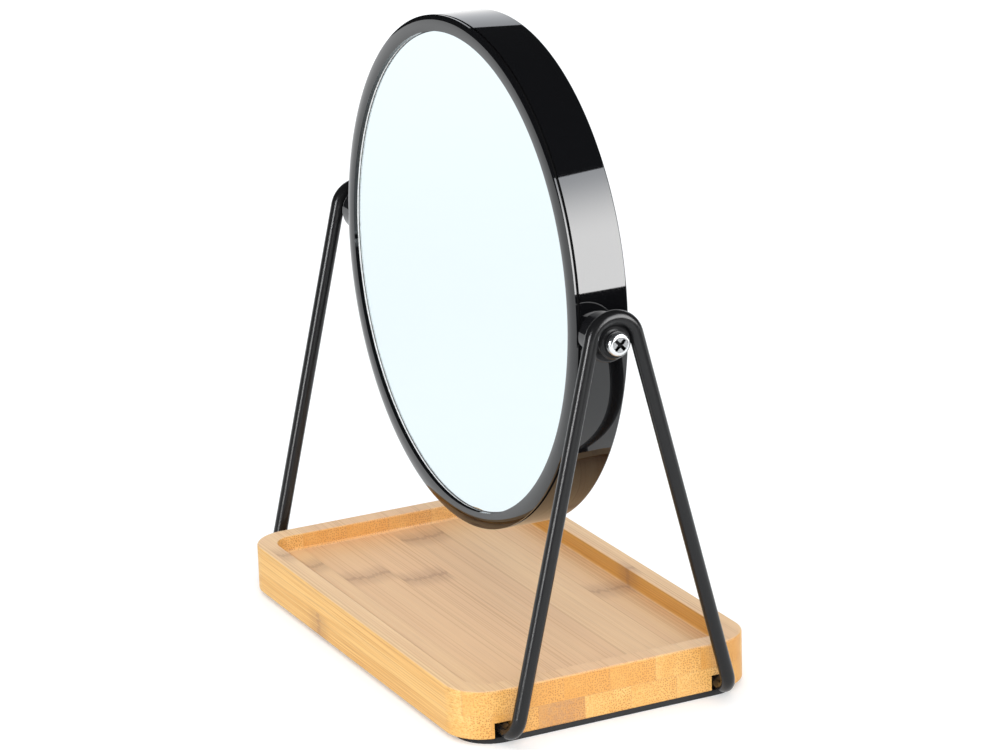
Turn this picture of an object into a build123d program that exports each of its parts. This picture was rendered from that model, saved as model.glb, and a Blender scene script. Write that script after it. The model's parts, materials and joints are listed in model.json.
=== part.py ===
from build123d import *
import os
from math import acos, atan2, degrees, hypot, sqrt, tan

# Tabletop tilting mirror: a round double-sided head hung between two bent wire
# frames that stand on a bamboo tray. Millimetres, +Z up, the pivots lie along X,
# the flat mirror looks towards -Y. The origin is under the middle of the base pad.

# ---- mirror head
head_diameter = 180.0
head_depth = 20.0
lip_width = 5.7  # face of the lip round each glass
lip_depth = 1.6  # from the lip's face back to the glass
flange_thickness = 1.45  # outer edge of the front ring, in front of the shell
skirt_length = 4.0
skirt_wall = 2.2
shell_wall = 1.6
slip_gap = 0.2  # between parts that slide into one another
ring_round = 1.1
shell_round = 0.6
lip_inner_round = 0.6
seam_bevel = 0.3
glass_thickness = 2.0
glass_bevel = 0.35
foam_thickness = 0.5
magnifier_curve = 1000.0  # radius of the hollow face of the magnifying glass
core_rim = 14.3  # radial width of the core's stiff rim
core_web = 2.0
rest_lean = 1.3  # degrees that the top of the head leans back at rest

# ---- pivots
pivot_forward = 0.9  # pivots in front of the middle of the head and tray
boss_length = 7.15
boss_diameter = 15.8
boss_round = 0.6
wire_gap = 0.35  # from the boss's end to the wire
rub_gap = 0.05  # running gap at each turning face
friction_washer_diameter = 10.0
eye_thickness = 2.8
eye_bevel = 0.7
spring_washer_diameter = 7.6
spring_washer_thickness = 0.6
spring_washer_slit = 0.8
spring_washer_turn = 25.0  # degrees from the lowest point to the slit
screw_diameter = 4.0
screw_length = 25.0
screw_head_diameter = 8.2
screw_head_height = 2.4
screw_head_round = 1.5
screw_tip_bevel = 0.6
shank_clearance = 0.08  # running fit, on the radius
cross_span = 4.8
cross_slot = 1.15
cross_depth = 1.4
cross_turn = 45.0  # degrees, where the tightened screw stops
insert_diameter = 5.6
insert_length = 8.0
thread_gap = 0.02

# ---- wire frames
wire_diameter = 5.0
top_bend_radius = 8.4  # centre line of the bend round the pivot
foot_bend_radius = 6.5
foot_gap = 6.0  # from the tray's end face to the wire
foot_inset = 15.15  # from the tray's long side to the middle of a foot
foot_lift = 0.3  # wire above the tray's underside
foot_reach = 30.0  # from the wire's plane in to the foot screw
tab_length = 13.0
tab_width = 8.4
tab_thickness = 2.2

# ---- bamboo tray and pad
tray_depth = 112.5
tray_height = 17.2
tray_corner = 14.0
rim_width = 7.3
well_depth = 6.2
well_corner = 7.6
well_cove = 1.0
rim_round = 0.7
well_round = 0.5
base_round = 0.5
head_clearance = 26.8  # from the tray's rim to the head's lowest edge
notch_inner_gap = 0.2  # from the wire to the notch's side nearer the tray's middle
notch_outer_gap = 1.1
notch_top_gap = 0.3
tab_gap = 0.2
pad_thickness = 2.0
pad_end_inset = 0.3
pad_side_inset = 3.4
pad_corner = 12.6
foot_screw_diameter = 3.0
foot_screw_length = 7.6
foot_screw_head_diameter = 6.4
foot_screw_head_height = 1.4
foot_screw_cone = 1.5
foot_screw_tip_diameter = 0.7

# ---- working values
cut_margin = 1.0  # how far a cut runs on past the face it opens
close_enough = 0.01

# ---- worked out from the sizes above
head_radius = head_diameter / 2
head_half = head_depth / 2
lip_radius = head_radius - lip_width
shell_inner = head_radius - shell_wall
seam_y = flange_thickness - head_half
skirt_outer = shell_inner - slip_gap
skirt_inner = skirt_outer - skirt_wall
flat_radius = skirt_inner - slip_gap
magnifier_radius = shell_inner - slip_gap
seat_half = head_half - lip_depth  # faces that the glasses lean against
core_front = glass_thickness + foam_thickness - seat_half
core_step = seam_y + skirt_length + slip_gap
core_radius = shell_inner - slip_gap
core_inner = core_radius - core_rim

boss_end = head_radius + boss_length
wire_plane = boss_end + wire_gap + wire_diameter / 2
eye_inner_face = wire_plane - eye_thickness / 2
eye_outer_face = wire_plane + eye_thickness / 2
screw_seat = eye_outer_face + rub_gap + spring_washer_thickness
screw_tip = screw_seat - screw_length
insert_outer_face = core_inner + insert_length
eye_radius = top_bend_radius - wire_diameter / 2
shank_radius = screw_diameter / 2
clear_radius = shank_radius + shank_clearance

tray_length = 2 * (wire_plane - wire_diameter / 2 - foot_gap)
tray_base = pad_thickness
tray_top = tray_base + tray_height
well_floor = tray_top - well_depth
pivot_height = tray_top + head_clearance + head_radius
foot_y = tray_depth / 2 - foot_inset
foot_z = tray_base + foot_lift + wire_diameter / 2
foot_x = wire_plane - foot_reach
notch_height = foot_lift + wire_diameter + notch_top_gap
notch_width = notch_inner_gap + wire_diameter + notch_outer_gap
notch_y = foot_y + (notch_outer_gap - notch_inner_gap) / 2
leg_drop = pivot_height - foot_z
tab_start = foot_x - tab_width / 2 + tab_length
tab_seat = foot_z + tab_thickness / 2 + tab_gap

pivot_place = Pos(0, -pivot_forward, pivot_height)
head_place = pivot_place * Rot(-rest_lean, 0, 0)
sides = {"left": -1, "right": 1}


def turned(points, rounds=()):
    """Ring about the Y axis from (radius, y) points; rounds lists (point, radius)."""
    face = make_face(Polyline(*points, close=True))
    for (radius, y), size in rounds:
        corner = face.vertices().sort_by_distance((radius, y, 0))[0]
        face = fillet(corner, size)
    return Pos(0, pivot_forward, 0) * revolve(face, Axis.Y)


def along_x(radius, start, end):
    """Cylinder on the X axis from start to end."""
    return Pos((start + end) / 2, 0, 0) * Rot(0, 90, 0) * Cylinder(radius, end - start)


def on_side(piece, side):
    """Piece drawn for the +X end, turned round to the end asked for."""
    return piece if side > 0 else Rot(0, 0, 180) * piece


# ---- head pieces, drawn about the pivot, before the lean

def front_ring():
    """Retaining ring: the front lip and a skirt that slides into the shell."""
    front = -head_half
    points = [
        (lip_radius, front),
        (head_radius, front),
        (head_radius, seam_y - seam_bevel),
        (head_radius - seam_bevel, seam_y),
        (skirt_outer, seam_y),
        (skirt_outer, seam_y + skirt_length),
        (skirt_inner, seam_y + skirt_length),
        (skirt_inner, -seat_half),
        (lip_radius, -seat_half),
    ]
    rounds = [((head_radius, front), ring_round), ((lip_radius, front), lip_inner_round)]
    return turned(points, rounds)


def head_shell():
    """Glossy outer shell: the band and the rear lip in one, drilled for the pivots."""
    back = head_half
    points = [
        (shell_inner, seam_y),
        (head_radius - seam_bevel, seam_y),
        (head_radius, seam_y + seam_bevel),
        (head_radius, back),
        (lip_radius, back),
        (lip_radius, seat_half),
        (shell_inner, seat_half),
    ]
    rounds = [((head_radius, back), shell_round), ((lip_radius, back), lip_inner_round)]
    return turned(points, rounds) - along_x(clear_radius, -head_diameter, head_diameter)


def sag(radius):
    """How far the magnifying face has come up from its middle at this radius."""
    return magnifier_curve - sqrt(magnifier_curve ** 2 - radius ** 2)


def dish_y(radius, depth):
    """Y of the hollow rear face, or of a face that lies depth mm in front of it."""
    return seat_half - sag(magnifier_radius) + sag(radius) - depth


def dished(inner, outer, near, far):
    """Ring or disc that follows the magnifier, from near to far mm in front of it."""
    middle = (inner + outer) / 2
    back = ThreePointArc(
        (inner, dish_y(inner, near)),
        (middle, dish_y(middle, near)),
        (outer, dish_y(outer, near)),
    )
    front = ThreePointArc(
        (outer, dish_y(outer, far)),
        (middle, dish_y(middle, far)),
        (inner, dish_y(inner, far)),
    )
    ends = [Line(back @ 1, front @ 0), Line(front @ 1, back @ 0)]
    face = make_face(Curve() + [back, ends[0], front, ends[1]])
    return Pos(0, pivot_forward, 0) * revolve(face, Axis.Y)


def flat_glass():
    front = -seat_half
    back = front + glass_thickness
    points = [
        (0, front),
        (flat_radius - glass_bevel, front),
        (flat_radius, front + glass_bevel),
        (flat_radius, back),
        (0, back),
    ]
    return turned(points)


def magnifying_glass():
    return dished(0, magnifier_radius, 0, glass_thickness)


def front_foam():
    points = [
        (0, core_front - foam_thickness),
        (flat_radius, core_front - foam_thickness),
        (flat_radius, core_front),
        (0, core_front),
    ]
    return turned(points)


def rear_foam():
    return dished(core_inner, core_radius, glass_thickness, glass_thickness + foam_thickness)


def core_frame():
    """Moulded core: a web behind the flat glass and a stiff rim that fills the shell."""
    points = [
        (0, core_front),
        (flat_radius, core_front),
        (flat_radius, core_step),
        (core_radius, core_step),
        (core_radius, seat_half),
        (core_inner, seat_half),
        (core_inner, core_front + core_web),
        (0, core_front + core_web),
    ]
    core = turned(points)
    core -= dished(
        core_inner - cut_margin,
        core_radius + cut_margin,
        -lip_depth,
        glass_thickness + foam_thickness,
    )
    for side in sides.values():
        seat = along_x(insert_diameter / 2, core_inner - cut_margin, insert_outer_face)
        shank = along_x(clear_radius, core_inner, head_radius)
        core -= on_side(seat + shank, side)
    return core


def pivot_boss():
    """Spacer between shell and wire, saddled onto the shell."""
    start = sqrt(head_radius ** 2 - (boss_diameter / 2) ** 2)
    boss = along_x(boss_diameter / 2, start, boss_end)
    rim = boss.edges().filter_by(GeomType.CIRCLE).sort_by(Axis.X)[-1]
    boss = fillet(rim, boss_round)
    boss -= Rot(90, 0, 0) * Cylinder(head_radius, head_diameter)
    return boss - along_x(clear_radius, 0, 2 * head_radius)


def friction_washer():
    """Nylon ring on the boss's end, just short of the eye's inner face."""
    washer = along_x(friction_washer_diameter / 2, boss_end, eye_inner_face - rub_gap)
    return washer - along_x(clear_radius, 0, 2 * head_radius)


def spring_washer():
    """Split washer between the eye and the screw's head."""
    start = eye_outer_face + rub_gap
    washer = along_x(spring_washer_diameter / 2, start, screw_seat)
    washer -= along_x(clear_radius, 0, 2 * head_radius)
    middle = (start + screw_seat) / 2
    slit = Pos(middle, 0, -spring_washer_diameter / 2)
    slit *= Rot(spring_washer_turn, 0, 0)
    return washer - slit * Box(2 * spring_washer_thickness, spring_washer_slit, spring_washer_diameter)


def pivot_screw():
    """Pan head with a cross recess on a plain shank."""
    top = screw_seat + screw_head_height
    head = along_x(screw_head_diameter / 2, screw_seat, top)
    rim = head.edges().filter_by(GeomType.CIRCLE).sort_by(Axis.X)[-1]
    head = fillet(rim, screw_head_round)
    for turn in (0, 90):
        slot = Pos(top - cross_depth / 2 + slip_gap, 0, 0) * Rot(turn + cross_turn, 0, 0)
        head -= slot * Box(cross_depth + 2 * slip_gap, cross_span, cross_slot)
    shank = along_x(shank_radius, screw_tip, screw_seat)
    tip = shank.edges().filter_by(GeomType.CIRCLE).sort_by(Axis.X)[0]
    return head + chamfer(tip, screw_tip_bevel)


def threaded_insert():
    """Sleeve pressed into the core's rim from inside."""
    sleeve = along_x(insert_diameter / 2, core_inner, insert_outer_face)
    return sleeve - along_x(shank_radius + thread_gap, 0, head_radius)


# ---- stand pieces

def leg_angle(reach):
    """Lean of a leg from upright, for a foot this far from the pivots along Y."""
    return acos(top_bend_radius / hypot(reach, leg_drop)) - atan2(leg_drop, reach)


def wire_frame(side):
    """Round wire bent round the pivot, both feet turned in under the tray, ends flattened."""
    front_slope = tan(leg_angle(foot_y - pivot_forward))
    rear_slope = tan(leg_angle(foot_y + pivot_forward))
    apex = foot_z + 2 * foot_y / (front_slope + rear_slope)
    apex_y = (apex - foot_z) * front_slope - foot_y
    corners = [
        (tab_start, -foot_y, foot_z),
        (wire_plane, -foot_y, foot_z),
        (wire_plane, apex_y, apex),
        (wire_plane, foot_y, foot_z),
        (tab_start, foot_y, foot_z),
    ]
    path = FilletPolyline(*corners, radius=[foot_bend_radius, top_bend_radius, foot_bend_radius])
    section = Plane(origin=corners[0], z_dir=(1, 0, 0)) * Circle(wire_diameter / 2)
    wire = sweep(section, path=path)
    for y in (-foot_y, foot_y):
        tab = SlotOverall(tab_length + wire_diameter, tab_width)
        tab = Pos(tab_start - tab_length / 2 + wire_diameter / 2, y, foot_z) * extrude(
            tab, tab_thickness / 2, both=True
        )
        hole = Pos(foot_x, y, foot_z) * Cylinder(foot_screw_diameter / 2 + slip_gap, 2 * tab_thickness)
        wire += tab - hole
    return wire if side > 0 else mirror(wire, Plane.YZ)


def pivot_eye():
    """Disc welded into the bend of the wire, bored for the pivot screw."""
    eye = along_x(eye_radius, eye_inner_face, eye_outer_face)
    rim = eye.edges().filter_by(GeomType.CIRCLE).sort_by(Axis.X)[-1]
    eye = chamfer(rim, eye_bevel)
    eye -= along_x(clear_radius, 0, 2 * head_radius)
    return eye


def foot_places():
    """Where the four foot screws stand, on the tray's underside."""
    return [(x, y) for x in (-foot_x, foot_x) for y in (-foot_y, foot_y)]


def foot_screws():
    """Wood screws that hold the flattened wire ends up against the tray."""
    seat = foot_z - tab_thickness / 2
    tip = seat + foot_screw_length
    head = Pos(0, 0, seat - foot_screw_head_height / 2)
    head *= Cylinder(foot_screw_head_diameter / 2, foot_screw_head_height)
    shank_height = foot_screw_length - foot_screw_cone
    shank = Pos(0, 0, seat + shank_height / 2) * Cylinder(foot_screw_diameter / 2, shank_height)
    cone = Pos(0, 0, tip - foot_screw_cone / 2)
    cone *= Cone(foot_screw_diameter / 2, foot_screw_tip_diameter / 2, foot_screw_cone)
    screw = head + shank + cone
    return Compound(children=[Pos(x, y, 0) * screw for x, y in foot_places()])


def tray():
    """Bamboo board with a shallow well, notched and grooved below for the wire feet."""
    board = extrude(RectangleRounded(tray_length, tray_depth, tray_corner), tray_height)
    board = fillet(board.faces().sort_by(Axis.Z)[-1].edges(), rim_round)
    board = fillet(board.faces().sort_by(Axis.Z)[0].edges(), base_round)
    board = Pos(0, 0, tray_base) * board
    well_length = tray_length - 2 * rim_width
    well_width = tray_depth - 2 * rim_width
    well = extrude(RectangleRounded(well_length, well_width, well_corner), well_depth)
    well = fillet(well.faces().sort_by(Axis.Z)[0].edges(), well_cove)
    board -= Pos(0, 0, well_floor) * well
    lip = [edge for edge in board.edges() if is_well_edge(edge, well_length, well_width)]
    board = fillet(lip, well_round)
    for x, y in foot_places():
        board -= foot_cut(x, y)
    return board


def is_well_edge(edge, well_length, well_width):
    """Whether an edge lies on the well's upper outline."""
    middle = edge.center()
    within_length = abs(middle.X) <= well_length / 2 + close_enough
    within_width = abs(middle.Y) <= well_width / 2 + close_enough
    return within_length and within_width and abs(middle.Z - tray_top) < close_enough


def foot_cut(x, y):
    """Groove for the wire, shallower seat for its flat end, and the screw's pilot hole."""
    groove_end = tab_start - wire_diameter / 2 - slip_gap
    groove_length = tray_length / 2 - groove_end + cut_margin
    groove_low = tray_base - cut_margin
    groove_high = tray_base + notch_height
    groove = Pos(groove_end + groove_length / 2, notch_y, (groove_low + groove_high) / 2)
    groove *= Box(groove_length, notch_width, groove_high - groove_low)
    seat_length = tab_length + wire_diameter + 2 * tab_gap
    seat_height = tab_seat - tray_base
    seat = Pos(tab_start - tab_length / 2 + wire_diameter / 2, foot_y, tray_base)
    seat *= extrude(SlotOverall(seat_length, tab_width + 2 * tab_gap), seat_height)
    pilot_depth = foot_screw_length - tab_thickness + slip_gap
    pilot = Pos(foot_x, foot_y, foot_z + tab_thickness / 2 + pilot_depth / 2)
    pilot *= Cylinder(foot_screw_diameter / 2 + thread_gap, pilot_depth)
    cut = groove + seat + pilot
    if x < 0:
        cut = mirror(cut, Plane.YZ)
    return cut if y > 0 else mirror(cut, Plane.XZ)


def base_pad():
    """Soft non-slip pad stuck over the whole underside."""
    length = tray_length - 2 * pad_end_inset
    depth = tray_depth - 2 * pad_side_inset
    return extrude(RectangleRounded(length, depth, pad_corner), pad_thickness)


# ---- assembly

head_pieces = {
    "front_ring": front_ring(),
    "head_shell": head_shell(),
    "flat_glass": flat_glass(),
    "magnifying_glass": magnifying_glass(),
    "front_foam": front_foam(),
    "rear_foam": rear_foam(),
    "core_frame": core_frame(),
}
for name, side in sides.items():
    head_pieces[name + "_boss"] = on_side(pivot_boss(), side)
    head_pieces[name + "_friction_washer"] = on_side(friction_washer(), side)
    head_pieces[name + "_spring_washer"] = on_side(spring_washer(), side)
    head_pieces[name + "_pivot_screw"] = on_side(pivot_screw(), side)
    head_pieces[name + "_insert"] = on_side(threaded_insert(), side)

pieces = {name: head_place * piece for name, piece in head_pieces.items()}
pieces["tray"] = tray()
pieces["base_pad"] = base_pad()
pieces["foot_screws"] = foot_screws()
for name, side in sides.items():
    pieces[name + "_wire_frame"] = wire_frame(side)
    pieces[name + "_pivot_eye"] = pivot_place * on_side(pivot_eye(), side)

os.makedirs("parts", exist_ok=True)
for name, piece in pieces.items():
    export_step(piece, "parts/" + name + ".step")
print("tray length", round(tray_length, 2), "pivot height", round(pivot_height, 2))
print("wire plane", round(wire_plane, 2))
print("front leg angle", round(degrees(leg_angle(foot_y - pivot_forward)), 2))
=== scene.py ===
import bpy
import bmesh
import json
import math
from mathutils import Matrix, Vector


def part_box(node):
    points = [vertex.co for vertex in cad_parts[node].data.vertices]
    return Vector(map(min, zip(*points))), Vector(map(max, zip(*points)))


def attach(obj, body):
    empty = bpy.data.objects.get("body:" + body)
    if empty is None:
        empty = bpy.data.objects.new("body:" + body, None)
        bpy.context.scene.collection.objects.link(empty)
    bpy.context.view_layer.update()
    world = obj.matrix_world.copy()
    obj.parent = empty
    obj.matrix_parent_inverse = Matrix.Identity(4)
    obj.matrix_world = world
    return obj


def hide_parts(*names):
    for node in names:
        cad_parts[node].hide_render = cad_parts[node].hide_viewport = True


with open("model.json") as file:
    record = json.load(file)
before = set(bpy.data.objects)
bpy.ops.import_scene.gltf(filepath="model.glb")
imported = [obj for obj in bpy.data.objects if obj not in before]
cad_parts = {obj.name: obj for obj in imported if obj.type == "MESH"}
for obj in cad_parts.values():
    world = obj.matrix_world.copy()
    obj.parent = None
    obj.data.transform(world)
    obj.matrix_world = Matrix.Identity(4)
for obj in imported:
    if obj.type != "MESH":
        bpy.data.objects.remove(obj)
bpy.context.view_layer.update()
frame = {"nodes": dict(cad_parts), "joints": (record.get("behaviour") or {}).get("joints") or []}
nodes = frame["nodes"]
scene = bpy.context.scene
print("frame loaded,", len(nodes), "nodes")


# ---- small helpers

def mm(value):
    return value / 1000


def addNode(tree, kind, settings=None, inputs=None):
    node = tree.nodes.new(kind)
    for key, value in (settings or {}).items():
        setattr(node, key, value)
    for key, value in (inputs or {}).items():
        if isinstance(value, bpy.types.NodeSocket):
            tree.links.new(value, node.inputs[key])
        else:
            node.inputs[key].default_value = value
    return node


def maths(tree, operation, first, second=None, third=None):
    inputs = {0: first}
    if second is not None:
        inputs[1] = second
    if third is not None:
        inputs[2] = third
    return addNode(tree, "ShaderNodeMath", {"operation": operation}, inputs).outputs[0]


def remap(tree, value, low, high, toLow=0.0, toHigh=1.0):
    settings = {"interpolation_type": "SMOOTHSTEP", "clamp": True}
    inputs = {0: value, 1: low, 2: high, 3: toLow, 4: toHigh}
    return addNode(tree, "ShaderNodeMapRange", settings, inputs).outputs[0]


def blendColor(tree, kind, factor, first, second):
    settings = {"data_type": "RGBA", "blend_type": kind, "clamp_result": True}
    return addNode(tree, "ShaderNodeMix", settings, {0: factor, 6: first, 7: second}).outputs[2]


def stretched(tree, vector, scale):
    inputs = {0: vector, 1: scale}
    return addNode(tree, "ShaderNodeVectorMath", {"operation": "MULTIPLY"}, inputs).outputs[0]


def noise(tree, vector, scale, detail=2.0, roughness=0.5):
    inputs = {"Vector": vector, "Scale": scale, "Detail": detail, "Roughness": roughness}
    return addNode(tree, "ShaderNodeTexNoise", {}, inputs).outputs["Fac"]


def newGroup(name, inputs, outputs):
    tree = bpy.data.node_groups.new(name, "ShaderNodeTree")
    for label, kind, value in inputs:
        socket = tree.interface.new_socket(name=label, in_out="INPUT", socket_type=kind)
        if value is not None:
            socket.default_value = value
    for label, kind in outputs:
        tree.interface.new_socket(name=label, in_out="OUTPUT", socket_type=kind)
    source = tree.nodes.new("NodeGroupInput")
    sink = tree.nodes.new("NodeGroupOutput")
    return tree, source.outputs, sink.inputs


def useGroup(tree, group, inputs):
    return addNode(tree, "ShaderNodeGroup", {"node_tree": group}, inputs).outputs


def newMaterial(name, plain):
    material = bpy.data.materials.new(name)
    material.use_nodes = True
    tree = material.node_tree
    shader = tree.nodes["Principled BSDF"]
    for key, value in plain.items():
        shader.inputs[key].default_value = value
    where = addNode(tree, "ShaderNodeTexCoord").outputs["Object"]
    return material, tree, shader, where


def addBump(tree, shader, height, distance, strength=1.0):
    inputs = {"Height": height, "Distance": distance, "Strength": strength}
    bump = addNode(tree, "ShaderNodeBump", {}, inputs)
    tree.links.new(bump.outputs[0], shader.inputs["Normal"])


def paint(piece, material):
    piece.data.materials.clear()
    piece.data.materials.append(material)


# ---- shared effects

def makeFinishGroup():
    # mottled gloss and faint orange peel, for moulded, painted and plated surfaces
    inputs = [
        ("Position", "NodeSocketVector", None),
        ("Color", "NodeSocketColor", (0.02, 0.02, 0.02, 1)),
        ("Gloss Spread", "NodeSocketFloat", 0.04),
        ("Roughness", "NodeSocketFloat", 0.1),
        ("Peel Scale", "NodeSocketFloat", 300.0),
        ("Grain Scale", "NodeSocketFloat", 3000.0),
        ("Tone", "NodeSocketFloat", 0.1),
    ]
    outputs = [
        ("Color", "NodeSocketColor"),
        ("Roughness", "NodeSocketFloat"),
        ("Height", "NodeSocketFloat"),
    ]
    tree, given, result = newGroup("surfaceFinish", inputs, outputs)
    peel = noise(tree, given["Position"], given["Peel Scale"], 2.0)
    grain = noise(tree, given["Position"], given["Grain Scale"], 3.0, 0.6)
    patch = noise(tree, given["Position"], 35.0, 3.0, 0.6)
    spread = maths(tree, "MULTIPLY", maths(tree, "SUBTRACT", patch, 0.5), given["Gloss Spread"])
    rough = maths(tree, "ADD", given["Roughness"], spread)
    shade = maths(tree, "MULTIPLY", maths(tree, "SUBTRACT", grain, 0.5), given["Tone"])
    bright = maths(tree, "ADD", 1.0, shade)
    color = addNode(tree, "ShaderNodeVectorMath", {"operation": "SCALE"},
                    {0: given["Color"], "Scale": bright}).outputs[0]
    tree.links.new(color, result["Color"])
    tree.links.new(maths(tree, "MAXIMUM", rough, 0.01), result["Roughness"])
    tree.links.new(maths(tree, "ADD", peel, maths(tree, "MULTIPLY", grain, 0.25)), result["Height"])
    return tree


finishGroup = makeFinishGroup()


def finished(name, color, plain, rough, spread, peel, grain, bump, tone=0.1):
    # a material that takes its gloss, tone and relief from the shared finish group
    material, tree, shader, where = newMaterial(name, plain)
    inputs = {
        "Position": where,
        "Color": (*color, 1),
        "Roughness": rough,
        "Gloss Spread": spread,
        "Peel Scale": peel,
        "Grain Scale": grain,
        "Tone": tone,
    }
    made = useGroup(tree, finishGroup, inputs)
    tree.links.new(made["Color"], shader.inputs["Base Color"])
    tree.links.new(made["Roughness"], shader.inputs["Roughness"])
    addBump(tree, shader, made["Height"], bump)
    return material


# ---- bamboo

bamboo = {
    "pale": (0.84, 0.52, 0.17, 1),
    "warm": (0.68, 0.33, 0.068, 1),
    "bundle": (0.36, 0.13, 0.025, 1),
    "nodeMark": (0.30, 0.15, 0.09, 1),
    "glue": (0.42, 0.22, 0.09, 1),
    "endTone": (0.60, 0.245, 0.035, 1),
    # paler colour painted onto upward faces as sheen
    "paintedTopSheen": (0.84, 0.64, 0.47, 1),
    "lamellaWidth": 17.6,  # millimetres across the board
    "firstStrip": 4.6,  # strips between the middle and the first whole one
    "plyHeight": 10.4,  # where the two plies meet, above the floor
    "plyShift": 8.0,
    "nodeSpacing": 250.0,
    "fibreJump": (90, 90, 90),  # moves each strip's fibres to another place
    "broadGrain": (0.006, 0.16, 0.16),
    "streakGrain": (0.010, 1.05, 1.05),
    "hairGrain": (0.03, 4.2, 4.2),
    "dotScale": 1.15,
    "dotSpread": 0.7,
    "roughness": 0.5,
    "relief": mm(0.05),
}


def makeBambooGroup():
    inputs = [
        ("Position", "NodeSocketVector", None),
        ("Pale", "NodeSocketColor", bamboo["pale"]),
        ("Warm", "NodeSocketColor", bamboo["warm"]),
        ("Bundle", "NodeSocketColor", bamboo["bundle"]),
        ("Node Mark", "NodeSocketColor", bamboo["nodeMark"]),
        ("Glue", "NodeSocketColor", bamboo["glue"]),
        ("End Tone", "NodeSocketColor", bamboo["endTone"]),
        ("Painted Top Sheen", "NodeSocketColor", bamboo["paintedTopSheen"]),
    ]
    outputs = [
        ("Color", "NodeSocketColor"),
        ("Roughness", "NodeSocketFloat"),
        ("Height", "NodeSocketFloat"),
    ]
    tree, given, result = newGroup("laminatedBamboo", inputs, outputs)
    place = stretched(tree, given["Position"], (1000, 1000, 1000))
    axes = addNode(tree, "ShaderNodeSeparateXYZ", {}, {0: place}).outputs
    ply = maths(tree, "GREATER_THAN", axes[2], bamboo["plyHeight"])
    across = maths(tree, "MULTIPLY_ADD", ply, bamboo["plyShift"], axes[1])
    across = maths(tree, "ADD", across, bamboo["firstStrip"] * bamboo["lamellaWidth"])
    cell = maths(tree, "DIVIDE", across, bamboo["lamellaWidth"])
    strip = maths(tree, "FLOOR", cell)
    inStrip = maths(tree, "SUBTRACT", cell, strip)
    key = addNode(tree, "ShaderNodeCombineXYZ", {}, {0: strip, 1: ply, 2: 3.0}).outputs[0]
    chance = addNode(tree, "ShaderNodeTexWhiteNoise", {}, {"Vector": key}).outputs
    parts = addNode(tree, "ShaderNodeSeparateColor", {}, {0: chance["Color"]}).outputs
    # every strip has its own fibres
    own = addNode(tree, "ShaderNodeVectorMath", {"operation": "MULTIPLY_ADD"},
                  {0: chance["Color"], 1: bamboo["fibreJump"], 2: place}).outputs[0]
    broad = noise(tree, stretched(tree, own, bamboo["broadGrain"]), 1.0, 2.0)
    streak = noise(tree, stretched(tree, own, bamboo["streakGrain"]), 1.0, 3.0, 0.6)
    hair = noise(tree, stretched(tree, own, bamboo["hairGrain"]), 1.0, 2.0)
    section = addNode(tree, "ShaderNodeSeparateXYZ", {}, {0: own}).outputs
    section = addNode(tree, "ShaderNodeCombineXYZ", {}, {0: section[1], 1: section[2]}).outputs[0]
    dotInputs = {"Vector": section, "Scale": bamboo["dotScale"], "Randomness": bamboo["dotSpread"]}
    dotSettings = {"feature": "F1", "voronoi_dimensions": "2D"}
    dots = addNode(tree, "ShaderNodeTexVoronoi", dotSettings, dotInputs)
    bundle = remap(tree, dots.outputs["Distance"], 0.12, 0.38, 1.0, 0.0)
    dense = remap(tree, inStrip, 0.0, 1.0, 0.5, 1.0)
    bundle = maths(tree, "MULTIPLY", bundle, dense)
    tone = maths(tree, "MULTIPLY_ADD", parts[0], 0.55, maths(tree, "MULTIPLY", broad, 0.6))
    tone = remap(tree, tone, 0.15, 0.95)
    color = blendColor(tree, "MIX", tone, given["Pale"], given["Warm"])
    grainMask = remap(tree, streak, 0.42, 0.66, 0.0, 0.6)
    color = blendColor(tree, "MIX", grainMask, color, given["Warm"])
    hairMask = remap(tree, hair, 0.48, 0.75, 0.0, 0.45)
    color = blendColor(tree, "MIX", hairMask, color, given["Bundle"])
    # end grain is deeper in colour and its fibre bundles show as dots
    facing = addNode(tree, "ShaderNodeNewGeometry").outputs["True Normal"]
    facing = addNode(tree, "ShaderNodeSeparateXYZ", {}, {0: facing}).outputs
    ends = remap(tree, maths(tree, "ABSOLUTE", facing[0]), 0.5, 0.95, 0.0, 1.0)
    # painted sheen: faces that look up are blended towards a paler tone, for the white they reflect
    topSheen = remap(tree, facing[2], 0.5, 0.95, 0.0, 0.45)
    color = blendColor(tree, "MIX", topSheen, color, given["Painted Top Sheen"])
    endTone = maths(tree, "MULTIPLY_ADD", parts[2], 0.35, 0.0)
    color = blendColor(tree, "MIX", maths(tree, "MULTIPLY", ends, endTone), color, given["End Tone"])
    dotStrength = maths(tree, "MULTIPLY_ADD", ends, 0.5, 0.3)
    color = blendColor(tree, "MIX", maths(tree, "MULTIPLY", bundle, dotStrength), color, given["Bundle"])
    # one growth ring crosses each strip, ragged along its fibres
    ragged = maths(tree, "MULTIPLY", maths(tree, "SUBTRACT", streak, 0.5), 9.0)
    bow = maths(tree, "POWER", maths(tree, "SUBTRACT", inStrip, 0.5), 2.0)
    ringPlace = maths(tree, "MULTIPLY", maths(tree, "SUBTRACT", parts[1], 0.5), bamboo["nodeSpacing"])
    fromRing = maths(tree, "SUBTRACT", axes[0], ringPlace)
    fromRing = maths(tree, "ADD", fromRing, maths(tree, "MULTIPLY_ADD", bow, 7.0, ragged))
    fromRing = maths(tree, "ABSOLUTE", fromRing)
    core = remap(tree, fromRing, 0.4, 3.4, 0.5, 0.0)
    halo = remap(tree, fromRing, 2.0, 11.0, 0.28, 0.0)
    mark = maths(tree, "MAXIMUM", core, halo)
    color = blendColor(tree, "MIX", mark, color, given["Node Mark"])
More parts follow.
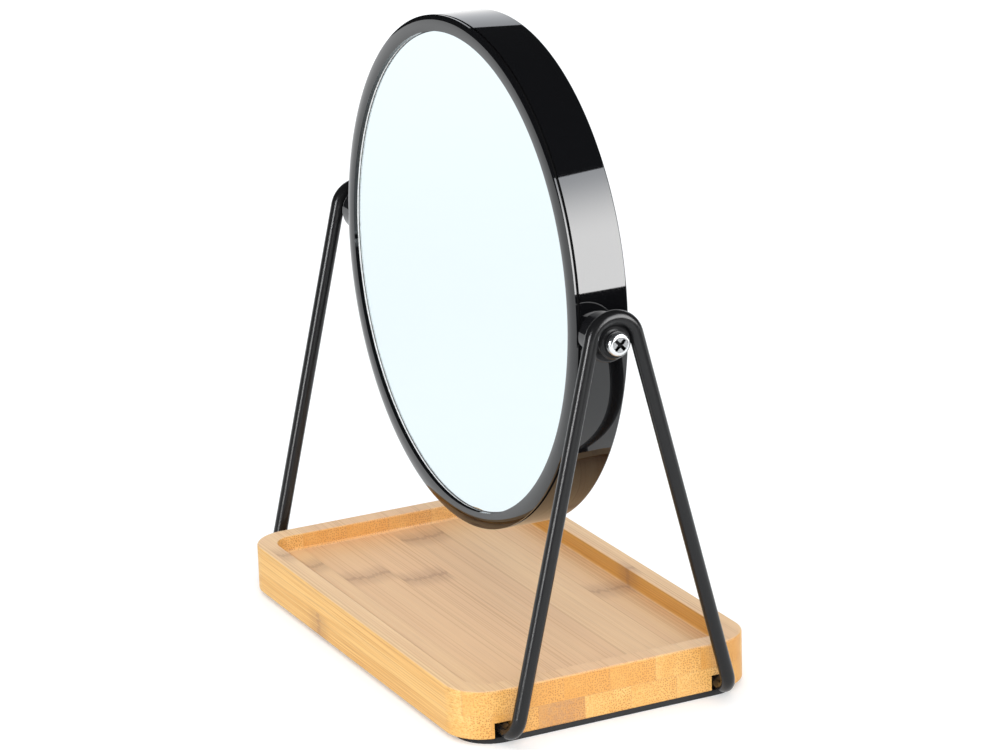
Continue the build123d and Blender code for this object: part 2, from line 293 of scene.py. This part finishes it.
    # glue lines between strips and between plies
    toSide = maths(tree, "MINIMUM", inStrip, maths(tree, "SUBTRACT", 1.0, inStrip))
    toSide = maths(tree, "MULTIPLY", toSide, bamboo["lamellaWidth"])
    toPly = maths(tree, "ABSOLUTE", maths(tree, "SUBTRACT", axes[2], bamboo["plyHeight"]))
    toGlue = maths(tree, "MINIMUM", toSide, toPly)
    glue = remap(tree, toGlue, 0.04, 0.24, 0.26, 0.0)
    color = blendColor(tree, "MIX", glue, color, given["Glue"])
    rough = maths(tree, "MULTIPLY_ADD", streak, 0.16, bamboo["roughness"] - 0.08)
    rough = maths(tree, "MULTIPLY_ADD", mark, 0.12, rough)
    height = maths(tree, "MULTIPLY_ADD", bundle, -0.45, maths(tree, "MULTIPLY", hair, 0.35))
    height = maths(tree, "MULTIPLY_ADD", glue, -0.9, height)
    height = maths(tree, "MULTIPLY_ADD", core, 0.6, height)
    tree.links.new(color, result["Color"])
    tree.links.new(rough, result["Roughness"])
    tree.links.new(height, result["Height"])
    return tree


def makeBamboo():
    plain = {
        "IOR": 1.5,
        "Coat Weight": 0.2,
        "Coat Roughness": 0.5,
        "Coat IOR": 1.5,
        "Specular IOR Level": 0.3,
    }
    material, tree, shader, where = newMaterial("lacqueredBamboo", plain)
    made = useGroup(tree, makeBambooGroup(), {"Position": where})
    tree.links.new(made["Color"], shader.inputs["Base Color"])
    tree.links.new(made["Roughness"], shader.inputs["Roughness"])
    addBump(tree, shader, made["Height"], bamboo["relief"], 0.8)
    return material


paint(nodes["tray"], makeBamboo())
print("tray painted")


# ---- black parts, metals and the hidden pieces

screw = {
    "recessReach": mm(2.55),
    "recessEdge": mm(0.12),
    # colour of the painted shade down in the cross recess
    "recessShadeColor": (0.03, 0.03, 0.032, 1),
}


def paintRecessShade(material):
    # painted shade: darkens the plated colour down in the cross recess, where shadow falls
    tree = material.node_tree
    shader = tree.nodes["Principled BSDF"]
    screwLow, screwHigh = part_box("right_pivot_screw")
    middle = (screwLow + screwHigh) / 2
    where = addNode(tree, "ShaderNodeTexCoord").outputs["Object"]
    axes = addNode(tree, "ShaderNodeSeparateXYZ", {}, {0: where}).outputs
    below = maths(tree, "SUBTRACT", screwHigh.x, maths(tree, "ABSOLUTE", axes[0]))
    sideways = maths(tree, "SUBTRACT", axes[1], middle.y)
    upwards = maths(tree, "SUBTRACT", axes[2], middle.z)
    square = maths(tree, "MULTIPLY_ADD", sideways, sideways, maths(tree, "MULTIPLY", upwards, upwards))
    reach = maths(tree, "SQRT", square)
    edge = screw["recessEdge"]
    inside = remap(tree, reach, screw["recessReach"], screw["recessReach"] + edge, 1.0, 0.0)
    deep = remap(tree, below, edge, edge * 3, 0.0, 1.0)
    recessShadeMask = maths(tree, "MULTIPLY", inside, deep)
    plated = shader.inputs["Base Color"].links[0].from_socket
    color = blendColor(tree, "MIX", recessShadeMask, plated, screw["recessShadeColor"])
    tree.links.new(color, shader.inputs["Base Color"])


glossBlack = finished(
    "glossBlackPlastic", (0.0035, 0.0036, 0.0042), {"IOR": 1.56},
    rough=0.035, spread=0.03, peel=60.0, grain=2600.0, bump=mm(0.0006))
bossBlack = finished(
    "bossBlackPlastic", (0.008, 0.008, 0.009), {"IOR": 1.5},
    rough=0.10, spread=0.04, peel=200.0, grain=3500.0, bump=mm(0.0008))
# matt black used as painted shade in the seam groove
seamShadeBlack = finished(
    "seamShadow", (0.004, 0.004, 0.0042), {"IOR": 1.5, "Specular IOR Level": 0.05},
    rough=0.9, spread=0.02, peel=900.0, grain=3000.0, bump=mm(0.001))
wireBlack = finished(
    "satinPowderCoat", (0.007, 0.007, 0.0075), {"IOR": 1.37},
    rough=0.25, spread=0.05, peel=900.0, grain=4200.0, bump=mm(0.003), tone=0.4)
padFoam = finished(
    "blackPadFoam", (0.013, 0.013, 0.014), {"IOR": 1.4},
    rough=0.85, spread=0.1, peel=1800.0, grain=5200.0, bump=mm(0.05), tone=0.7)
chrome = finished(
    "brightNickel", (0.74, 0.75, 0.76), {"Metallic": 1.0},
    rough=0.23, spread=0.08, peel=700.0, grain=5000.0, bump=mm(0.002))
# painted shade in the screw's cross recess
paintRecessShade(chrome)
zincSteel = finished(
    "zincSteel", (0.52, 0.53, 0.56), {"Metallic": 1.0},
    rough=0.34, spread=0.15, peel=900.0, grain=4000.0, bump=mm(0.004))
brass = finished(
    "turnedBrass", (0.72, 0.52, 0.22), {"Metallic": 1.0},
    rough=0.28, spread=0.1, peel=1200.0, grain=4000.0, bump=mm(0.004))
corePlastic = finished(
    "mouldedCore", (0.04, 0.04, 0.043), {"IOR": 1.46},
    rough=0.5, spread=0.12, peel=500.0, grain=2500.0, bump=mm(0.01))
nylon = finished(
    "blackNylon", (0.03, 0.03, 0.032), {"IOR": 1.53},
    rough=0.4, spread=0.1, peel=700.0, grain=3500.0, bump=mm(0.006))
adhesiveFoam = finished(
    "adhesiveFoam", (0.80, 0.80, 0.77), {"IOR": 1.4},
    rough=0.9, spread=0.06, peel=2200.0, grain=6000.0, bump=mm(0.04), tone=0.2)


for name, material in (
    ("base_pad", padFoam),
    ("foot_screws", zincSteel),
    ("core_frame", corePlastic),
    ("front_foam", adhesiveFoam),
    ("rear_foam", adhesiveFoam),
):
    paint(nodes[name], material)
for side in ("left", "right"):
    paint(nodes[side + "_wire_frame"], wireBlack)
    paint(nodes[side + "_pivot_eye"], wireBlack)
    paint(nodes[side + "_boss"], bossBlack)
    paint(nodes[side + "_friction_washer"], nylon)
    paint(nodes[side + "_spring_washer"], zincSteel)
    paint(nodes[side + "_pivot_screw"], chrome)
    paint(nodes[side + "_insert"], brass)
print("hardware painted")


# ---- mirror head, turned about its own axis

pivot = Vector(frame["joints"][0]["pos_m"])
shellLow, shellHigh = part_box("head_shell")
head = {
    "radius": (shellHigh.x - shellLow.x) / 2,
    "behindPivot": mm(0.9),  # middle of the head's depth, behind the pivot line
    "lean": 1.3,  # degrees, top towards the back
    "halfDepth": mm(10.0),
    "lipWidth": mm(5.7),
    "lipDepth": mm(1.6),
    "flange": mm(1.2),
    "skirtEnd": mm(5.45),
    "skirtRadius": mm(88.2),
    "skirtWall": mm(2.2),
    "shellWall": mm(1.6),
    "crownRadius": mm(12.0),  # the lip's face is slightly crowned
    "crest": mm(2.0),  # top of the crown, from the lip's inner edge
    "crownEdge": mm(0.35),  # plain band left between the crown and the outside
    "crownSteps": 12,
    "rearRound": mm(0.6),
    "grooveWidth": mm(0.95),  # step in the shell behind the ring
    "grooveDepth": mm(0.45),
    "turns": 288,
    "arcSteps": 7,
}
lean = Matrix.Rotation(-math.radians(head["lean"]), 4, "X")
headPlace = Matrix.Translation(pivot) @ lean @ Matrix.Translation((0, head["behindPivot"], 0))


def roundCorner(before, corner, after, radius, steps):
    # points of the arc that rounds one corner of a profile
    first = (Vector(before) - Vector(corner)).normalized()
    last = (Vector(after) - Vector(corner)).normalized()
    half = first.angle(last) / 2
    middle = Vector(corner) + (first + last).normalized() * (radius / math.sin(half))
    start = Vector(corner) + first * (radius / math.tan(half)) - middle
    stop = Vector(corner) + last * (radius / math.tan(half)) - middle
    points = []
    for step in range(steps + 1):
        share = step / steps
        arm = start.lerp(stop, share).normalized() * radius
        points.append(tuple(middle + arm))
    return points


def smoothProfile(corners, steps):
    # corners are (radius, depth) or (radius, depth, round)
    points = []
    for index, corner in enumerate(corners):
        if len(corner) == 2:
            points.append(corner)
            continue
        before = corners[index - 1][:2]
        after = corners[(index + 1) % len(corners)][:2]
        points += roundCorner(before, corner[:2], after, corner[2], steps)
    return points


def lathe(name, profile, closed, place, material):
    # turns a profile of (radius, depth) about the Y axis; a zero radius closes on the axis
    work = bmesh.new()
    turns = head["turns"]
    rows = []
    for radius, depth in profile:
        if radius < 1e-6:
            rows.append([work.verts.new((0, depth, 0))])
            continue
        row = []
        for turn in range(turns):
            angle = 2 * math.pi * turn / turns
            row.append(work.verts.new((radius * math.cos(angle), depth, radius * math.sin(angle))))
        rows.append(row)
    pairs = list(zip(rows, rows[1:]))
    if closed:
        pairs.append((rows[-1], rows[0]))
    for first, second in pairs:
        for turn in range(turns):
            after = (turn + 1) % turns
            if len(first) == 1 and len(second) == 1:
                break
            if len(first) == 1:
                work.faces.new((first[0], second[after], second[turn]))
            elif len(second) == 1:
                work.faces.new((first[turn], first[after], second[0]))
            else:
                work.faces.new((first[turn], first[after], second[after], second[turn]))
    bmesh.ops.recalc_face_normals(work, faces=work.faces)
    return finishPiece(name, work, place, material)


def finishPiece(name, work, place, material):
    mesh = bpy.data.meshes.new(name)
    work.to_mesh(mesh)
    work.free()
    mesh.transform(place)
    mesh.shade_smooth()
    mesh.set_sharp_from_angle(angle=math.radians(32))
    piece = bpy.data.objects.new(name, mesh)
    scene.collection.objects.link(piece)
    mesh.materials.append(material)
    return piece


def headPiece(name, corners, closed, material, node):
    profile = smoothProfile(corners, head["arcSteps"])
    piece = lathe(name, profile, closed, headPlace, material)
    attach(piece, "mirror_head")
    if node:
        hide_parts(node)
    return piece


outer = head["radius"]
lipRadius = outer - head["lipWidth"]
front = -head["halfDepth"]
back = head["halfDepth"]
seat = head["halfDepth"] - head["lipDepth"]
seam = front + head["flange"]
shellInside = outer - head["shellWall"]
skirtInside = head["skirtRadius"] - head["skirtWall"]


def crown():
    # points across the lip's face, from its inner edge to its outer edge
    points = []
    for step in range(head["crownSteps"] + 1):
        share = step / head["crownSteps"]
        radius = lipRadius + share * (head["lipWidth"] - head["crownEdge"])
        offset = radius - lipRadius - head["crest"]
        fall = head["crownRadius"] - math.sqrt(head["crownRadius"] ** 2 - offset ** 2)
        points.append((radius, front + fall))
    return points


headPiece("frontRing", [
    *crown(),
    (outer, front + head["flange"] / 2),
    (outer, seam),
    (head["skirtRadius"], seam),
    (head["skirtRadius"], front + head["skirtEnd"]),
    (skirtInside, front + head["skirtEnd"]),
    (skirtInside, -seat),
    (lipRadius, -seat),
], True, glossBlack, "front_ring")

# a matt black ring sits in the groove between ring and shell as painted shade, so the open seam reads as
# a dark line
grooveRadius = outer - head["grooveDepth"]
grooveEnd = seam + head["grooveWidth"]
headPiece("seamShadeRing", [
    (shellInside, seam),
    (grooveRadius, seam),
    (grooveRadius, grooveEnd),
    (shellInside, grooveEnd),
], True, seamShadeBlack, None)
headPiece("headShell", [
    (shellInside, grooveEnd),
    (outer, grooveEnd),
    (outer, back, head["rearRound"]),
    (lipRadius, back, head["rearRound"]),
    (lipRadius, seat),
    (shellInside, seat),
], True, glossBlack, "head_shell")
print("ring and shell turned")


# ---- mirror glasses, silvered, the flat one with a polished edge just inside the lip

glass = {
    "thickness": mm(2.0),
    "bevel": mm(0.35),
    "flatRadius": mm(85.8),
    "curvedRadius": mm(88.0),
    "curve": 1.0,  # radius of the hollow face, metres
    "curveSteps": 14,
    "silverDepth": mm(0.7),  # how deep the silvering looks through the glass
    "edgeRadius": mm(84.43),
    "lineWidth": mm(0.3),  # dark line where the edge meets the silvering
    "lineHeight": mm(0.12),
    "silver": (0.755, 0.835, 0.86),
    "edgeColor": (0.88, 0.89, 0.89),
}


def makeSilver():
    material, tree, shader, where = newMaterial("silveredGlass", {"Metallic": 1.0})
    cloud = noise(tree, where, 14.0, 3.0)
    deeper = tuple(value * 0.985 for value in glass["silver"])
    color = blendColor(tree, "MIX", cloud, (*glass["silver"], 1), (*deeper, 1))
    tree.links.new(color, shader.inputs["Base Color"])
    tree.links.new(remap(tree, cloud, 0.2, 0.9, 0.0, 0.012), shader.inputs["Roughness"])
    return material


silver = makeSilver()
glassBack = glass["thickness"] - seat
flatRadius = glass["flatRadius"]


def makeGlassEdge():
    # the ground edge of the clear glass, which catches light all round
    material, tree, shader, where = newMaterial("groundGlassEdge", {"IOR": 1.5, "Roughness": 0.22})
    streak = noise(tree, where, 900.0, 3.0)
    deeper = tuple(value * 0.8 for value in glass["edgeColor"])
    ground = remap(tree, streak, 0.35, 0.7)
    color = blendColor(tree, "MIX", ground, (*glass["edgeColor"], 1), (*deeper, 1))
    tree.links.new(color, shader.inputs["Base Color"])
    return material


silverFace = glass["silverDepth"] - seat
lineStart = glass["edgeRadius"] - glass["lineWidth"]
lineTop = silverFace - glass["lineHeight"]
headPiece("flatGlass", [
    (0.0, silverFace),
    (flatRadius, silverFace),
    (flatRadius, glassBack),
    (0.0, glassBack),
], False, silver, "flat_glass")
headPiece("flatGlassEdge", [
    (glass["edgeRadius"], -seat),
    (flatRadius - glass["bevel"], -seat),
    (flatRadius, glass["bevel"] - seat),
    (flatRadius, lineTop),
    (glass["edgeRadius"], lineTop),
], True, makeGlassEdge(), None)
headPiece("flatGlassLine", [
    (lineStart, silverFace),
    (lineStart, lineTop),
    (flatRadius, lineTop),
    (flatRadius, silverFace),
], True, nylon, None)


def dish(radius, depth):
    # depth along Y of the hollow face, or of a face that lies this much in front of it
    fall = glass["curve"] - math.sqrt(glass["curve"] ** 2 - radius ** 2)
    rimFall = glass["curve"] - math.sqrt(glass["curve"] ** 2 - glass["curvedRadius"] ** 2)
    return seat - rimFall + fall - depth


def dishProfile(radius, near, far):
    steps = glass["curveSteps"]
    radii = [radius * step / steps for step in range(steps + 1)]
    rear = [(value, dish(value, near)) for value in radii]
    return rear + [(value, dish(value, far)) for value in reversed(radii)]


headPiece("magnifyingGlass", dishProfile(glass["curvedRadius"], 0.0, glass["thickness"]),
          False, silver, "magnifying_glass")
print("glasses made")


# ---- camera

camera = {
    "azimuth": 63.923,
    "elevation": 17.61,
    "roll": -1.849,
    "distance": 1.4036,
    "aim": (0.003725, 0.004139, 0.09719),
    "lens": 144.014,
    "shift": (0.0006, 0.0017),
}


def makeCamera():
    turn = math.radians(camera["azimuth"])
    rise = math.radians(camera["elevation"])
    roll = math.radians(camera["roll"])
    away = Vector((math.sin(turn) * math.cos(rise), -math.cos(turn) * math.cos(rise), math.sin(rise)))
    level = Vector((0, 0, 1)).cross(away).normalized()
    upright = away.cross(level)
    right = level * math.cos(roll) + upright * math.sin(roll)
    up = upright * math.cos(roll) - level * math.sin(roll)
    view = bpy.data.objects.new("studioCamera", bpy.data.cameras.new("studioCamera"))
    scene.collection.objects.link(view)
    view.matrix_world = Matrix((right, up, away)).transposed().to_4x4()
    view.location = Vector(camera["aim"]) + away * camera["distance"]
    view.data.lens = camera["lens"]
    view.data.shift_x, view.data.shift_y = camera["shift"]
    view.data.clip_end = 30
    scene.camera = view


makeCamera()


# ---- studio

studio = {
    "floorSize": 7.0,
    "floorColor": (0.80, 0.81, 0.815, 1),
    "nearLift": 0.25,  # glow that keeps the floor's shadows faint
    "farLift": 0.42,
    "fill": 0.92,  # light that reaches matt surfaces from all round
    "dark": 0.025,  # what glossy surfaces see where there is no softbox
}


def makeFloor():
    work = bmesh.new()
    half = studio["floorSize"] / 2
    corners = [work.verts.new((x * half, y * half, 0)) for x, y in ((-1, -1), (1, -1), (1, 1), (-1, 1))]
    work.faces.new(corners)
    bmesh.ops.subdivide_edges(work, edges=work.edges, cuts=3, use_grid_fill=True)
    plain = {"Roughness": 0.9, "Specular IOR Level": 0.1}
    material, tree, shader, where = newMaterial("paleFloor", plain)
    speck = noise(tree, where, 40.0, 3.0)
    darker = tuple(value * 0.985 for value in studio["floorColor"][:3])
    color = blendColor(tree, "MIX", speck, studio["floorColor"], (*darker, 1))
    tree.links.new(color, shader.inputs["Base Color"])
    away = addNode(tree, "ShaderNodeVectorMath", {"operation": "LENGTH"}, {0: where}).outputs[1]
    lift = remap(tree, away, 0.35, 1.3, studio["nearLift"], studio["farLift"])
    glow = addNode(tree, "ShaderNodeCombineColor", {}, {0: lift, 1: lift, 2: lift}).outputs[0]
    tree.links.new(glow, shader.inputs["Emission Color"])
    shader.inputs["Emission Strength"].default_value = 1.0
    floor = finishPiece("studioFloor", work, Matrix.Identity(4), material)


def makeWorld():
    # white behind the object, a soft fill on matt surfaces, dark between the softboxes
    world = bpy.data.worlds.new("studioWorld")
    scene.world = world
    world.use_nodes = True
    tree = world.node_tree
    tree.nodes.clear()
    path = addNode(tree, "ShaderNodeLightPath").outputs

    def background(color, strength):
        inputs = {"Color": color, "Strength": strength}
        return addNode(tree, "ShaderNodeBackground", {}, inputs).outputs[0]

    def choose(ray, other, seen):
        inputs = {0: path[ray], 1: other, 2: seen}
        return addNode(tree, "ShaderNodeMixShader", {}, inputs).outputs[0]

    fill = background((0.97, 0.985, 1, 1), studio["fill"])
    dark = background((0.9, 0.95, 1, 1), studio["dark"])
    white = background((1, 1, 1, 1), 1.0)
    unseen = choose("Is Glossy Ray", fill, dark)
    addNode(tree, "ShaderNodeOutputWorld", {}, {0: choose("Is Camera Ray", unseen, white)})


def softbox(name, place, aim, width, height, strength, fadeFrom=0.0, fadeTo=1.0, dim=0.9):
    # a card that shows only in glossy surfaces, dimmer towards fadeTo
    work = bmesh.new()
    for x, y in ((-1, -1), (1, -1), (1, 1), (-1, 1)):
        work.verts.new((x * width / 2, y * height / 2, 0))
    work.verts.ensure_lookup_table()
    work.faces.new(work.verts)
    bmesh.ops.subdivide_edges(work, edges=work.edges, cuts=4, use_grid_fill=True)
    material, tree, shader, where = newMaterial(name, {"Base Color": (0, 0, 0, 1), "Roughness": 1.0})
    shader.inputs["Emission Strength"].default_value = strength
    shader.inputs["Specular IOR Level"].default_value = 0.0
    level = addNode(tree, "ShaderNodeSeparateXYZ", {}, {0: where}).outputs[2]
    fade = remap(tree, level, fadeFrom, fadeTo)
    color = blendColor(tree, "MIX", fade, (1, 1, 1, 1), (dim, dim * 1.03, dim * 1.08, 1))
    tree.links.new(color, shader.inputs["Emission Color"])
    turn = (Vector(place) - Vector(aim)).to_track_quat("Z", "Y").to_matrix().to_4x4()
    card = finishPiece(name, work, Matrix.Translation(place) @ turn, material)
    card.visible_camera = False
    card.visible_diffuse = False
    card.visible_shadow = False


def areaLight(name, place, aim, size, power):
    lamp = bpy.data.lights.new(name, "AREA")
    lamp.shape = "DISK"
    lamp.size = size
    lamp.energy = power
    holder = bpy.data.objects.new(name, lamp)
    scene.collection.objects.link(holder)
    holder.location = place
    holder.rotation_mode = "QUATERNION"
    holder.rotation_quaternion = (Vector(place) - Vector(aim)).to_track_quat("Z", "Y")
    holder.visible_camera = False
    holder.visible_glossy = False


# the flat glass should reflect only the pale studio
nodes["left_wire_frame"].visible_glossy = False
bpy.data.objects["frontRing"].visible_glossy = False
makeFloor()
makeWorld()
middle = (0, 0, 0.12)
softbox("rightSoftbox", (1.35, 0.82, 0.92), (0, 0.05, 0.92), 1.7, 1.54, 13.0, 0.7, 1.7, 0.42)
softbox("frontStrip", (0.68, -1.88, 0.42), (0, 0, 0.42), 0.55, 0.8, 24.0)
softbox("frontShade", (0.62, -1.0, 0.004), (0.62, -1.0, 1.0), 1.1, 1.2, 0.0)
softbox("leftBackdrop", (-2.3, 1.25, 0.75), (0, 0.05, 0.75), 3.2, 1.5, 1.45)
softbox("darkFlag", (0.42, 0.24, 0.075), (0, 0.0, 0.075), 0.42, 0.146, 0.0)
areaLight("overheadLight", (-0.3, -0.6, 1.9), middle, 1.4, 4.0)
areaLight("frontLight", (1.7, -0.7, 0.9), middle, 1.2, 24.0)
scene.view_settings.view_transform = "Standard"
print("studio lit")
